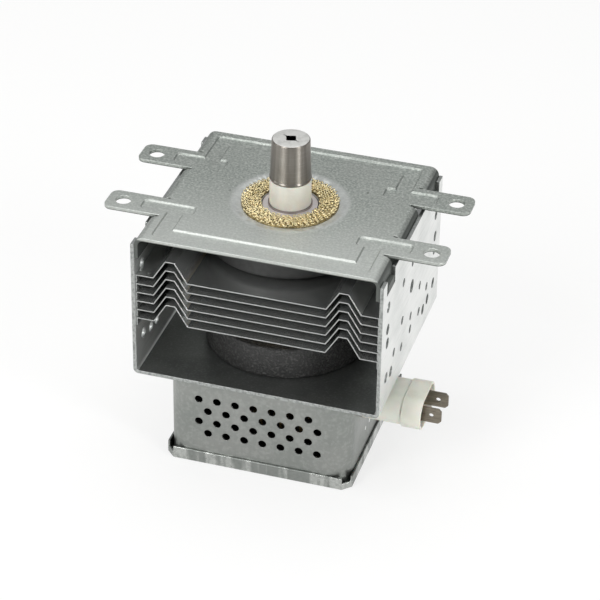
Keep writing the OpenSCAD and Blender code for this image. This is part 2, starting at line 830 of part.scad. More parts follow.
module stem_seal_cup() {
    color("#a9acad") translate([0, 0, anode_bottom]) mirror([0, 0, 1])
        seal_cup(anode_bottom - stem_z);
}

module stem_ceramic() {
    color("#d9d7cd") translate([0, 0, stem_bottom]) difference() {
        cylinder(d = ceramic_d, h = stem_h);
        for (x = [-rod_spread, rod_spread])
            translate([x, 0, -1]) cylinder(d = rod_d + 2 * fit, h = stem_h + 2);
    }
}

// Sleeve welded on a lead below the stem's ceramic
module stem_terminal(x) {
    color("#8f8f92") translate([x, 0, 0])
        hoop(rod_d / 2 + fit, sleeve_d / 2, stem_bottom - sleeve_h, sleeve_h);
}

module stem_terminal_centre() { stem_terminal(-rod_spread); }
module stem_terminal_side() { stem_terminal(rod_spread); }

// Drawn box with round upright corners and a round roof edge, its roof at z = 0
module drawn_box(w, d, h, r, q) {
    for (turn = [0, 90]) {
        across = turn == 0 ? d : w;
        along = turn == 0 ? w : d;
        rotate([90, 0, 90 + turn]) linear_extrude(along - 2 * r, center = true) {
            translate([-across / 2, -h]) square([across, h - q]);
            translate([-across / 2 + q, -h]) square([across - 2 * q, h]);
            for (x = [-across / 2 + q, across / 2 - q])
                translate([x, -q]) circle(q);
        }
    }
    for (x = [-w / 2 + r, w / 2 - r], y = [-d / 2 + r, d / 2 - r])
        translate([x, y, 0]) rotate_extrude() {
            translate([0, -h]) square([r, h - q]);
            translate([0, -h]) square([r - q, h]);
            intersection() {
                translate([r - q, -q]) circle(q);
                square([2 * r, 4 * q], center = true);
            }
        }
}

module filter_case() {
    in = 2 * case_t;
    color("#a3a6a4") translate([0, 0, floor_z]) difference() {
        drawn_box(case_w, case_d, case_h, case_r, roof_r);
        translate([0, 0, -case_t])
            drawn_box(case_w - in, case_d - in, case_h, case_r - case_t, roof_r - case_t);
        translate([0, 0, -far / 2]) cylinder(r = neck_r + 2 * pass, h = far);
        for (row = [0:perf_rows - 1], col = [0:perf_cols - 1]) {
            stagger = (row % 2 - 0.5) * perf_pitch / 2;
            x = (col - (perf_cols - 1) / 2) * perf_pitch + stagger;
            translate([x, 0, -perf_top - row * perf_rise]) rotate([90, 0, 0])
                cylinder(d = perf_d, h = far);
        }
        translate([0, feed_y, -feed_drop]) rotate([0, 90, 0]) linear_extrude(far)
            feed_oval(fit - feed_step);
        for (y = [-pip_half, pip_half])
            translate([0, feed_y + y, -feed_drop - pip_drop]) rotate([0, 90, 0])
                cylinder(d = pip_d + 2 * fit, h = far);
    }
}

// Outline of the lid with its slanting corners, drawn in on all sides by a margin
module lid_outline(margin) {
    x = case_w / 2 + fit + lid_t - margin;
    y = case_d / 2 + fit + lid_t - margin;
    cut = lid_notch + fit + lid_t - margin * (2 - sqrt(2));
    polygon([
        [x - cut, y], [x, y - cut], [x, cut - y], [x - cut, -y],
        [cut - x, -y], [-x, cut - y], [-x, y - cut], [cut - x, y]
    ]);
}

// Flat lid with a flap folded up along each side of the case and a low one across each corner
module filter_lid() {
    x_in = case_w / 2 + fit;
    y_in = case_d / 2 + fit;
    x_flap = case_w / 2 - lid_notch;
    y_flap = case_d / 2 - lid_notch;
    rise = lid_t + lid_flap;
    color("#8f9290") translate([0, 0, lid_bottom]) {
        linear_extrude(lid_t) lid_outline(0);
        difference() {
            linear_extrude(lid_t + lid_corner) lid_outline(0);
            translate([0, 0, lid_t]) linear_extrude(far) lid_outline(lid_t);
        }
        for (side = [0, 1]) {
            mirror([0, side, 0]) translate([-x_flap, y_in, 0]) cube([2 * x_flap, lid_t, rise]);
            mirror([side, 0, 0]) translate([x_in, -y_flap, 0]) cube([lid_t, 2 * y_flap, rise]);
        }
    }
}

// Turns +Z to +X and sets the origin on the capacitor's axis at the case's wall
module at_feed() {
    translate([case_w / 2, feed_y, feed_z]) rotate([0, 90, 0]) children();
}

// Blade, root and pin of a tab, grown all round by a clearance
module tab_shape(gap) {
    tip = tab_x - case_w / 2;
    root = feed_out - tab_root;
    w = tab_w / 2 + gap;
    t = tab_t + 2 * gap;
    translate([0, t / 2, 0]) rotate([90, 0, 0]) linear_extrude(t)
        polygon([
            [-w, root - gap], [w, root - gap], [w, tip - tab_chamfer], [w - tab_chamfer, tip],
            [-w + tab_chamfer, tip], [-w, tip - tab_chamfer]
        ]);
    translate([0, 0, -feed_in - pin_len]) cylinder(d = pin_d + 2 * gap, h = root + feed_in + pin_len);
}

module capacitor_body() {
    color("#cfd0c4") at_feed() difference() {
        union() {
            translate([0, 0, -feed_in]) linear_extrude(feed_in + 1) feed_oval(-feed_step);
            linear_extrude(feed_out) feed_oval(0);
            linear_extrude(feed_out + spigot) feed_oval(skirt_over - skirt_wall - fit);
        }
        for (y = [-tab_pitch / 2, tab_pitch / 2])
            translate([0, y, 0]) tab_shape(fit);
    }
}

// Insulating skirt round the tabs
module capacitor_skirt() {
    color("#dfe0d2") at_feed() translate([0, 0, feed_out]) linear_extrude(skirt_len) difference() {
        feed_oval(skirt_over);
        feed_oval(skirt_over - skirt_wall);
    }
}

// Earth plate against the inside of the case's wall, with two pips that sit in the wall
module capacitor_plate() {
    half = feed_w / 2 - feed_step + plate_margin;
    rise = feed_h / 2 - feed_step + 1;
    drop = pip_drop + pip_d + 1;
    color("#b9bcba") at_feed() translate([0, 0, -case_t - plate_t]) difference() {
        union() {
            linear_extrude(plate_t) round_rect([-rise, -half], [drop, half], 2);
            for (y = [-pip_half, pip_half])
                translate([pip_drop, y, 0]) cylinder(d = pip_d, h = plate_t + case_t);
        }
        translate([0, 0, -1]) linear_extrude(plate_t + 2) feed_oval(fit - feed_step);
    }
}

module terminal_tab(y) {
    hole_at = tab_x - case_w / 2 - tab_hole_in;
    color("#6b6558") translate([0, y - feed_y, 0]) at_feed() difference() {
        tab_shape(0);
        translate([0, 0, hole_at]) rotate([90, 0, 0]) cylinder(d = tab_hole, h = 4 * tab_t, center = true);
    }
}

module terminal_tab_front() { terminal_tab(tab_front_y); }
module terminal_tab_rear() { terminal_tab(tab_rear_y); }

// Winding along -X at height choke_z; its ends are led to a pin and to a stem terminal
module choke_coil(y, pin_y, lead_out) {
    steps = choke_turns * turn_points;
    top = choke_z + choke_r;
    wire_r = choke_wire / 2;
    start = [pin_end - wire_r - fit, pin_y, feed_z];
    lead_in = [
        start,
        [pin_end - 1.6 * choke_wire, pin_y, feed_z - 2 * choke_wire],
        [choke_x + choke_wire, (pin_y + 3 * y) / 4, top + 2 * choke_wire]
    ];
    turns = [for (i = [0:steps])
        let (a = 360 * i / turn_points)
        [choke_x - choke_pitch * i / turn_points, y + choke_r * sin(a), choke_z + choke_r * cos(a)]];
    color("#b87a50") wire(concat(lead_in, turns, lead_out), wire_r, [1, 0, 0]);
}

// Height at which the chokes' ends meet the stem terminals
function join_z() = stem_bottom - sleeve_h / 2;
// How far a wire's end stops from a terminal's axis
function join_r() = sleeve_d / 2 + fit + choke_wire / 3;

module choke_coil_front() {
    end_x = choke_x - choke_len;
    top = choke_z + choke_r;
    y = choke_front_y;
    choke_coil(y, tab_front_y, [
        [end_x - choke_wire, y + choke_wire, top + choke_wire],
        [end_x, y / 2, (top + join_z()) / 2],
        [-rod_spread - join_r() / 2, -join_r() - choke_wire, join_z()],
        [-rod_spread, -join_r(), join_z()]
    ]);
}

module choke_coil_rear() {
    end_x = choke_x - choke_len;
    top = choke_z + choke_r;
    y = choke_rear_y;
    out = sleeve_d + choke_wire;
    choke_coil(y, tab_rear_y, [
        [end_x - choke_wire, y + choke_wire, top + choke_wire],
        [end_x, out, top + 1.6 * choke_wire],
        [0, out + choke_wire, (top + join_z()) / 2],
        [rod_spread - join_r() / 2, join_r() + choke_wire, join_z()],
        [rod_spread, join_r(), join_z()]
    ]);
}

// Ferrite rod inside a winding
module choke_core(y) {
    color("#3a3a3c") translate([choke_x - choke_len - core_out, y, choke_z]) rotate([0, 90, 0])
        cylinder(r = core_r, h = choke_len + 2 * core_out);
}

module choke_core_front() { choke_core(choke_front_y); }
module choke_core_rear() { choke_core(choke_rear_y); }

yoke_top();
yoke_frame();
upper_magnet();
lower_magnet();
anode_cylinder();
anode_vanes();
strap_rings();
upper_pole_piece();
lower_pole_piece();
cooling_fin_1();
cooling_fin_2();
cooling_fin_3();
cooling_fin_4();
cooling_fin_5();
cooling_fin_6();
output_seal_cup();
antenna_ceramic();
exhaust_tube();
antenna_cap();
antenna_lead();
rf_gasket();
filament();
upper_end_hat();
lower_end_hat();
centre_lead();
side_lead();
stem_seal_cup();
stem_ceramic();
stem_terminal_centre();
stem_terminal_side();
filter_case();
filter_lid();
capacitor_body();
capacitor_skirt();
capacitor_plate();
terminal_tab_front();
terminal_tab_rear();
choke_coil_front();
choke_coil_rear();
choke_core_front();
choke_core_rear();
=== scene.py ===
"""Studio scene of a packaged microwave-oven magnetron.

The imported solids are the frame. Pressed sheet pieces are carried over with their sheared edges
eased, turned and knitted pieces are modelled afresh, and every surface gets a procedural finish.
"""
import logging
import math
import random
from dataclasses import dataclass
from enum import Enum
from typing import Callable, Sequence

import bmesh
import bpy
from mathutils import Matrix, Vector


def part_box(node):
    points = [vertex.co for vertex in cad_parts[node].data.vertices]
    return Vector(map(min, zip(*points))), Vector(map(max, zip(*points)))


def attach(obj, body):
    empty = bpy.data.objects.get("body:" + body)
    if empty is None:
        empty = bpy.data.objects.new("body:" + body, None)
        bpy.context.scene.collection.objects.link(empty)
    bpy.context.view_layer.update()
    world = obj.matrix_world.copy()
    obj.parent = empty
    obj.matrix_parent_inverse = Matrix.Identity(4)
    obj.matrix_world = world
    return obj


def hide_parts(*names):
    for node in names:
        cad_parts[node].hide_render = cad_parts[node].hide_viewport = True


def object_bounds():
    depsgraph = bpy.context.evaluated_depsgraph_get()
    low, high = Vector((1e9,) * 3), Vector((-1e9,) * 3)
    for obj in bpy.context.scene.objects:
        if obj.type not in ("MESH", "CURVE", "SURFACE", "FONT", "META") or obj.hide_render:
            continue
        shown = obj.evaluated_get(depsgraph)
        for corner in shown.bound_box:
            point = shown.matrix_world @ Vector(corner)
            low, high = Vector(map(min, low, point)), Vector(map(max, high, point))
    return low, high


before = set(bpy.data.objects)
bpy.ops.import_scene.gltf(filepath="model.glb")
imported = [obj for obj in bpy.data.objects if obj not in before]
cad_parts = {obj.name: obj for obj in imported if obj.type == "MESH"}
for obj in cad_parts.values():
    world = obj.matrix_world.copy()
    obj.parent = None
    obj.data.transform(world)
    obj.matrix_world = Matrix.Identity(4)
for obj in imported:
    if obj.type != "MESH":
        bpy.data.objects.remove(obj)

CAD_BOX = [[float(x) for x in corner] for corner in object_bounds()]
BODY = "root"
MM = 0.001
ROUND_STEPS = 96  # steps round a turned piece
SMOOTH_ANGLE = math.radians(32)  # sharper edges are eased
FLAT_ANGLE = math.radians(0.4)  # flatter facets are one face
PACKED_MERGE = 2e-6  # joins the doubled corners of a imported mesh, in metres
SEAM_MERGE = 1e-7  # joins the seam of a turned mesh, in metres
ON_AXIS = 1e-6  # anything nearer to an axis lies on it, in metres
EASE_SEGMENTS = 2
FLAT_FACE_WEIGHT = 100  # large faces alone set the normals at an eased edge
FACING, MOSTLY_FACING, ASKEW = 0.95, 0.9, 0.5  # share of a face's normal along an axis
QUARTER_TURN = 0.25  # turns the stretch of a brushed highlight
SUBSURFACE_SHARE = 0.25
MIX_A, MIX_B, MIX_RESULT = 6, 7, 2  # colour sockets of a Mix node
Profile = Sequence[tuple[float, float]]
Colour = tuple[float, float, float, float]

logging.basicConfig(level=logging.INFO, format="%(name)s: %(message)s")
log = logging.getLogger("magnetron")


def linear(code: str) -> Colour:
    """Turn an sRGB hex colour into a linear one.

    Args:
        code: Colour such as "#A4A9A4".

    Returns:
        Red, green, blue and alpha, all linear.
    """
    shares = [int(code[i:i + 2], 16) / 255 for i in (1, 3, 5)]
    flat = [s / 12.92 if s <= 0.04045 else ((s + 0.055) / 1.055) ** 2.4 for s in shares]
    return (flat[0], flat[1], flat[2], 1.0)


def add_node(tree: bpy.types.NodeTree, kind: str, sockets: dict | None = None,
             **settings: object) -> bpy.types.Node:
    """Add a shader node with its settings, values and links.

    Args:
        tree: Node tree that takes the node.
        kind: Node type without its "ShaderNode" prefix.
        sockets: Value or output socket for each named or numbered input.
        settings: Properties of the node itself.

    Returns:
        The new node.
    """
    node = tree.nodes.new("ShaderNode" + kind)
    for name, value in settings.items():
        setattr(node, name, value)
    for name, value in (sockets or {}).items():
        if isinstance(value, bpy.types.NodeSocket):
            tree.links.new(value, node.inputs[name])
        else:
            node.inputs[name].default_value = value
    return node


class Pattern(Enum):
    """Kind of pattern that a layer of a finish draws."""

    CLOUD = "soft patches or, where stretched, grain"
    SPECK = "separate round spots"
    LINE = "thin scratches along stretched cells"
    HEIGHT = "tone that changes along Z"
    DEPTH = "tone that changes along Y"
    RADIUS = "tone that changes away from the antenna's axis"


@dataclass(frozen=True)
class Layer:
    """One pattern laid over a finish.

    cell_mm is the pattern's real size along X, Y and Z. low and high are the part of its range that
    shows, from none to full; HEIGHT, DEPTH and RADIUS count it in cells. amount is how much of the
    tint full pattern takes, rough what it adds to the roughness and relief_mm its height.
    """

    pattern: Pattern
    cell_mm: tuple[float, float, float]
    low: float
    high: float
    tint: str
    amount: float
    rough: float = 0.0
    relief_mm: float = 0.0
    detail: float = 2.0

    def mask(self, tree: bpy.types.NodeTree, place: bpy.types.NodeSocket) -> bpy.types.NodeSocket:
        """Draw the pattern.

        Args:
            tree: Node tree of the material.
            place: Object coordinates.

        Returns:
            Strength of the pattern, from 0 to 1.
        """
        scale = tuple(1 / (cell * MM) for cell in self.cell_mm)
        vector = add_node(tree, "Mapping", {"Vector": place, "Scale": scale}).outputs[0]
        cells = {"Vector": vector, "Scale": 1.0}
        if self.pattern is Pattern.CLOUD:
            value = add_node(tree, "TexNoise", {**cells, "Detail": self.detail}).outputs[0]
        elif self.pattern is Pattern.SPECK:
            value = add_node(tree, "TexVoronoi", cells).outputs["Distance"]
        elif self.pattern is Pattern.LINE:
            value = add_node(tree, "TexVoronoi", cells, feature="DISTANCE_TO_EDGE").outputs["Distance"]
        elif self.pattern is Pattern.RADIUS:
            flat = add_node(tree, "VectorMath", {0: vector, 1: (1, 1, 0)}, operation="MULTIPLY").outputs[0]
            value = add_node(tree, "VectorMath", {0: flat}, operation="LENGTH").outputs["Value"]
        else:
            axis = "Z" if self.pattern is Pattern.HEIGHT else "Y"
            value = add_node(tree, "SeparateXYZ", {"Vector": vector}).outputs[axis]
        ranged = add_node(tree, "MapRange", {"Value": value, "From Min": self.low, "From Max": self.high},
                          interpolation_type="SMOOTHSTEP")
        return ranged.outputs[0]


@dataclass(frozen=True)
class Finish:
    """Surface of one real material, as base values and the layers over them."""

    name: str
    colour: str
    metallic: float
    roughness: float
    layers: tuple[Layer, ...]
    ior: float = 1.5
    anisotropy: float = 0.0
    subsurface_mm: float = 0.0

    def make(self) -> bpy.types.Material:
        """Build the material, once.

        Returns:
            The material of this finish.
        """
        known = bpy.data.materials.get(self.name)
        if known is not None:
            return known
        material = bpy.data.materials.new(self.name)
        material.use_nodes = True
        material.diffuse_color = linear(self.colour)
        tree = material.node_tree
        tree.nodes.clear()
        place = add_node(tree, "TexCoord").outputs["Object"]
        shader = add_node(tree, "BsdfPrincipled", {
            "Base Color": linear(self.colour), "Metallic": self.metallic, "Roughness": self.roughness,
            "IOR": self.ior, "Anisotropic": self.anisotropy,
            "Anisotropic Rotation": QUARTER_TURN if self.anisotropy else 0.0,
            "Subsurface Weight": SUBSURFACE_SHARE if self.subsurface_mm else 0.0,
            "Subsurface Scale": self.subsurface_mm * MM,
        })
        colour: bpy.types.NodeSocket | Colour = linear(self.colour)
        rough: bpy.types.NodeSocket | float = self.roughness
        normal: bpy.types.NodeSocket | None = None
        for layer in self.layers:
            mask = layer.mask(tree, place)
            share = add_node(tree, "Math", {0: mask, 1: layer.amount}, operation="MULTIPLY").outputs[0]
            mixed = add_node(tree, "Mix", {0: share, MIX_A: colour, MIX_B: linear(layer.tint)},
                             data_type="RGBA")
            colour = mixed.outputs[MIX_RESULT]
            if layer.rough:
                added = add_node(tree, "Math", {0: mask, 1: layer.rough, 2: rough},
                                 operation="MULTIPLY_ADD", use_clamp=True)
                rough = added.outputs[0]
            if layer.relief_mm:
                bump = add_node(tree, "Bump", {
                    "Height": mask, "Strength": 1.0, "Distance": layer.relief_mm * MM,
                })
                if normal is not None:
                    tree.links.new(normal, bump.inputs["Normal"])
                normal = bump.outputs[0]
        for name, value in (("Base Color", colour), ("Roughness", rough), ("Normal", normal)):
            if isinstance(value, bpy.types.NodeSocket):
                tree.links.new(value, shader.inputs[name])
        add_node(tree, "OutputMaterial", {"Surface": shader.outputs[0]})
        return material


# Galvanised mild steel, skin-passed flat: a satin grey-green zinc with cloudy bloom, a fine light and
# dark speckle, faint rolling grain along X, a few handling scratches and dark specks. Painted light makes
# it paler towards the front, a painted highlight rings the gasket, and painted shade darkens it below the
# top.
PLATE_ZINC = Finish("galvanised_steel_plate", "#A7ACA7", 1.0, 0.47, (
    Layer(Pattern.CLOUD, (16, 24, 16), 0.35, 0.70, "#919893", 0.50, 0.05),
    Layer(Pattern.CLOUD, (0.9, 0.9, 0.9), 0.38, 0.70, "#D3D6D1", 0.60, 0.05, 0.005),
    Layer(Pattern.CLOUD, (0.7, 0.7, 0.7), 0.50, 0.70, "#727974", 0.38, 0.05),
    Layer(Pattern.CLOUD, (12, 0.6, 0.6), 0.45, 0.75, "#878E89", 0.22, 0.05, 0.002),
    # painted light: paler towards the front
    Layer(Pattern.DEPTH, (1, 1, 1), 12, -39, "#D6D9D5", 0.55),
    # painted highlight: a pale, smoother ring round the gasket
    Layer(Pattern.RADIUS, (1, 1, 1), 23.0, 20.2, "#E0E2E0", 0.62, -0.06),
    Layer(Pattern.LINE, (34, 9, 34), 0.006, 0.0, "#DDE0DC", 0.28, -0.04),
    Layer(Pattern.SPECK, (13, 13, 13), 0.045, 0.02, "#565A55", 0.8, 0.2),
    # painted shade: darker below the plate's top, on its bends and flanges
    Layer(Pattern.HEIGHT, (1, 1, 1), -0.75, -1.3, "#4E524F", 0.85, 0.05),
))

# The frame's sheet: brighter, cleaner zinc with faint rolling grain along Y and a few scratches.
FRAME_ZINC = Finish("galvanised_steel_frame", "#EFF0EE", 1.0, 0.46, (
    Layer(Pattern.CLOUD, (18, 18, 14), 0.35, 0.70, "#D6D9D7", 0.50, 0.06),
    Layer(Pattern.CLOUD, (0.9, 0.9, 0.9), 0.40, 0.75, "#F2F3F1", 0.35, 0.04, 0.003),
    Layer(Pattern.CLOUD, (0.6, 12, 0.6), 0.45, 0.75, "#B2B6B3", 0.15, 0.05, 0.002),
    Layer(Pattern.LINE, (9, 34, 9), 0.006, 0.0, "#FAFAF8", 0.25, -0.04),
))

# The frame's floor, between the walls: glossy zinc, darkened with painted shade.
SHADED_FLOOR_ZINC = Finish("galvanised_steel_painted_shade", "#6B6D6B", 0.80, 0.36, (
    Layer(Pattern.CLOUD, (14, 14, 14), 0.35, 0.70, "#565957", 0.55, 0.08),
    Layer(Pattern.CLOUD, (0.8, 0.8, 0.8), 0.45, 0.75, "#8A8D8B", 0.40, 0.05, 0.004, 3.0),
))

# Sheared edge of the frame's sheet: half burnished, half torn steel.
SHEARED_STEEL = Finish("sheared_steel_edge", "#B0B3B1", 1.0, 0.40, (
    Layer(Pattern.CLOUD, (1.2, 1.2, 1.2), 0.40, 0.65, "#6E716F", 0.55, 0.10, 0.01),
    Layer(Pattern.CLOUD, (0.5, 0.5, 4), 0.45, 0.75, "#C4C6C5", 0.35),
))

# Drawn galvanised steel: a duller grey, with draw marks that run up the walls.
CASE_ZINC = Finish("galvanised_steel_drawn", "#969895", 1.0, 0.36, (
    Layer(Pattern.CLOUD, (20, 20, 12), 0.35, 0.70, "#868B87", 0.55, 0.06),
    Layer(Pattern.CLOUD, (1.3, 1.3, 1.3), 0.40, 0.75, "#B9BBB8", 0.30, 0.04, 0.004, 3.0),
    Layer(Pattern.CLOUD, (1.6, 1.6, 30), 0.45, 0.75, "#8A8E8B", 0.20, 0.04, 0.002),
))

# Folded galvanised steel: bright and dull patches where the flaps were pressed over.
LID_ZINC = Finish("galvanised_steel_folded", "#8F928F", 1.0, 0.30, (
    Layer(Pattern.CLOUD, (4.5, 4.5, 40), 0.46, 0.60, "#CFD1CE", 0.65, -0.08, 0.02),
    Layer(Pattern.CLOUD, (1.2, 1.2, 1.2), 0.40, 0.75, "#7C807D", 0.40, 0.06, 0.004, 3.0),
))

# Sintered strontium ferrite, ground: charcoal, matt, with faint mottling.
GROUND_FERRITE = Finish("sintered_ferrite_ground", "#272726", 0.0, 0.55, (
    Layer(Pattern.CLOUD, (2.4, 2.4, 2.4), 0.35, 0.70, "#1A1A19", 0.6, 0.06, 0.01, 3.0),
    Layer(Pattern.CLOUD, (0.6, 0.6, 0.6), 0.55, 0.75, "#3C3C3A", 0.4, 0.0, 0.01),
), ior=1.7)

# Sintered ferrite as pressed: coarse grains that sparkle. The real grit is finer than the render's
# pixels, so it is drawn about three times as coarse.
RAW_FERRITE = Finish("sintered_ferrite_raw", "#1B1B1A", 0.0, 0.55, (
    Layer(Pattern.CLOUD, (0.9, 0.9, 0.9), 0.46, 0.68, "#4A4A48", 0.75, -0.10, 0.16, 3.0),
    Layer(Pattern.CLOUD, (0.6, 0.6, 0.6), 0.50, 0.68, "#0C0C0B", 0.7, 0.1, 0.08),
), ior=1.7)

# Rolled aluminium sheet: bright under a thin oxide skin, with the faintest rolling lines along X.
FIN_ALUMINIUM = Finish("rolled_aluminium", "#D8DAD8", 0.89, 0.15, (
    Layer(Pattern.CLOUD, (16, 0.7, 0.7), 0.40, 0.75, "#CDD0CF", 0.25, 0.05),
    Layer(Pattern.CLOUD, (5, 5, 5), 0.45, 0.75, "#D2D5D4", 0.25, 0.04),
))

# The same sheet where it was sheared: a duller, torn edge.
SHEARED_ALUMINIUM = Finish("sheared_aluminium_edge", "#B4B6B5", 1.0, 0.45, (
    Layer(Pattern.CLOUD, (0.5, 0.5, 0.5), 0.40, 0.70, "#8E9190", 0.5, 0.08),
))

# Oxygen-free copper, brazed in hydrogen: warm and satin, with olive stains.
COPPER = Finish("brazed_copper", "#A58A5C", 1.0, 0.36, (
    Layer(Pattern.CLOUD, (6, 6, 9), 0.40, 0.70, "#8F7B4C", 0.6, 0.08),
    Layer(Pattern.CLOUD, (0.6, 0.6, 5), 0.45, 0.75, "#D2A678", 0.35, 0.0, 0.003),
))

# The anode's outside, oxidised olive brown by its heat; its pale, nearly matt colour is a painted gleam.
OXIDE_AND_GLEAM_COPPER = Finish("oxidised_copper_painted_gleam", "#D2B98C", 0.3, 0.40, (
    Layer(Pattern.CLOUD, (6, 6, 9), 0.40, 0.70, "#B7A074", 0.6, 0.08),
    Layer(Pattern.CLOUD, (0.6, 0.6, 5), 0.45, 0.75, "#E0C79B", 0.35, 0.0, 0.003),
))

# Pressed soft iron of the pole pieces.
POLE_STEEL = Finish("pressed_soft_iron", "#8D9093", 1.0, 0.42, (
    Layer(Pattern.CLOUD, (4, 4, 4), 0.40, 0.70, "#6E7174", 0.5, 0.08),
    Layer(Pattern.CLOUD, (0.6, 0.6, 0.6), 0.45, 0.75, "#A7AAAC", 0.3, 0.0, 0.004),
))

# Nickel-plated iron of the seal cups: bright, with painted shade darkening a ring at the ceramic's base.
SEAL_NICKEL = Finish("nickel_plated_iron", "#E9E3E2", 0.7, 0.34, (
    Layer(Pattern.CLOUD, (3, 3, 3), 0.40, 0.70, "#CFC8C8", 0.5, 0.06),
    Layer(Pattern.CLOUD, (0.7, 0.7, 0.7), 0.45, 0.75, "#F2EEED", 0.35, 0.0, 0.003),
    # painted shade: dark ring round the ceramic's base
    Layer(Pattern.RADIUS, (1, 1, 1), 8.15, 8.0, "#5A4E45", 0.85, 0.1),
))

# Sintered alumina: warm off-white, matt, with faint grey handling marks.
ALUMINA = Finish("sintered_alumina", "#E3E0D5", 0.0, 0.55, (
    Layer(Pattern.CLOUD, (5, 5, 7), 0.40, 0.70, "#D3D0C5", 0.55, 0.05),
    Layer(Pattern.CLOUD, (0.7, 0.7, 0.7), 0.50, 0.75, "#E6E4DC", 0.5, 0.0, 0.006),
    Layer(Pattern.SPECK, (6, 6, 6), 0.05, 0.02, "#9C978C", 0.5),
), ior=1.76, subsurface_mm=0.6)

# Deep-drawn stainless steel, polished round and round: highlights stretch up the cap into streaks.
DRAWN_STAINLESS = Finish("drawn_stainless_steel", "#9B968F", 1.0, 0.36, (
    Layer(Pattern.CLOUD, (1.8, 1.8, 70), 0.42, 0.62, "#7D7871", 0.45, 0.04),
    Layer(Pattern.CLOUD, (9, 9, 0.4), 0.50, 0.75, "#B9B5AF", 0.20, 0.04),
    Layer(Pattern.CLOUD, (5, 5, 8), 0.45, 0.70, "#857F78", 0.35, 0.03),
), anisotropy=0.9)

# The cap's flat top, tumbled matt; its pale colour is painted light on the up-facing top.
TUMBLED_TOP_LIT_STAINLESS = Finish("tumbled_stainless_painted_top_light", "#DADAD7", 1.0, 0.58, (
    Layer(Pattern.CLOUD, (2.5, 2.5, 2.5), 0.40, 0.70, "#B8B8B5", 0.5, 0.05, 0.004),
))

# Knitted brass wire: pale gold on the crowns of the loops, turned brown by painted shade low in the gaps.
BRASS_WIRE = Finish("knitted_brass_wire", "#EEE0B4", 1.0, 0.32, (
    # painted shade: the wire and its core grow brown towards the bottom
    Layer(Pattern.HEIGHT, (1, 1, 1), 0.40, 0.05, "#6E5F38", 0.90, 0.15),
    Layer(Pattern.CLOUD, (2.2, 2.2, 2.2), 0.45, 0.70, "#D9C088", 0.5, 0.06),
    Layer(Pattern.CLOUD, (0.7, 0.7, 0.7), 0.50, 0.75, "#F2E9CB", 0.4),
))

# Thermoplastic polyester, moulded: cream, with a soft gloss and faint flow marks.
SKIRT_PLASTIC = Finish("moulded_polyester", "#E8E8DC", 0.0, 0.36, (
    Layer(Pattern.CLOUD, (7, 9, 9), 0.40, 0.70, "#D5D5C6", 0.5, 0.06),
    Layer(Pattern.CLOUD, (0.6, 0.6, 0.6), 0.45, 0.75, "#EBEBE1", 0.4, 0.0, 0.006),
), subsurface_mm=1.0)

# Epoxy cast round the capacitor: greyer than the skirt and matt.
CAST_RESIN = Finish("cast_epoxy", "#EAEBE0", 0.0, 0.48, (
    Layer(Pattern.CLOUD, (6, 6, 6), 0.40, 0.70, "#DFE0D5", 0.5, 0.06),
    Layer(Pattern.CLOUD, (0.8, 0.8, 0.8), 0.45, 0.75, "#E2E3DA", 0.4, 0.0, 0.008),
), subsurface_mm=0.8)

# Tinned brass tabs, darkened: brown pewter with blanking lines along X.
TAB_METAL = Finish("tinned_brass_darkened", "#878074", 1.0, 0.42, (
    Layer(Pattern.CLOUD, (8, 0.4, 0.4), 0.40, 0.72, "#5B554A", 0.5, 0.08, 0.003),
    Layer(Pattern.CLOUD, (2.5, 2.5, 2.5), 0.45, 0.70, "#9C9587", 0.4),
))

# Drawn molybdenum and tungsten of the cathode: dark grey and satin.
CATHODE_METAL = Finish("drawn_molybdenum", "#75757A", 1.0, 0.38, (
    Layer(Pattern.CLOUD, (0.4, 0.4, 5), 0.40, 0.70, "#5A5A60", 0.5, 0.08, 0.002),
))

# Matt paper of the studio's floor, and the light of its room.
FLOOR_WHITE = "#F4F4F2"
ROOM_WHITE = "#F2F3F4"


def add_piece(name: str, bm: bmesh.types.BMesh, finish: Finish, slot: str, *nodes: str) -> bpy.types.Object:
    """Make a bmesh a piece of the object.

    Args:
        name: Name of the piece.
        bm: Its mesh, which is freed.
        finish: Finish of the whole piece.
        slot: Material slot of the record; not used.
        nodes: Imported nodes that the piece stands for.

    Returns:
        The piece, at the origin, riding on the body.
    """
    mesh = bpy.data.meshes.new(name)
    bm.to_mesh(mesh)
    bm.free()
    mesh.materials.append(finish.make())
    mesh.polygons.foreach_set("use_smooth", [True] * len(mesh.polygons))
    piece = bpy.data.objects.new(name, mesh)
    bpy.context.scene.collection.objects.link(piece)
    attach(piece, BODY)
    if nodes:
        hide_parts(*nodes)
    log.info("%s: %d faces, %s", name, len(mesh.polygons), finish.name)
    return piece


def dress_node(node: str, finish: Finish) -> None:
    """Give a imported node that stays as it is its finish.

    Args:
        node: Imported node.
        finish: Its finish.
    """
    material = finish.make()
    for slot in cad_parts[node].material_slots:
        slot.material = material
    log.info("%s: as packed, %s", node, finish.name)


def paint(piece: bpy.types.Object, finish: Finish, chosen: Callable[[bpy.types.MeshPolygon], bool]) -> None:
    """Give some faces of a piece a finish of their own.

    Args:
        piece: Piece to paint.
        finish: Finish of the chosen faces.
        chosen: Tells whether a face is painted.
    """
    piece.data.materials.append(finish.make())
    index = len(piece.data.materials) - 1
    for face in piece.data.polygons:
        if chosen(face):
            face.material_index = index


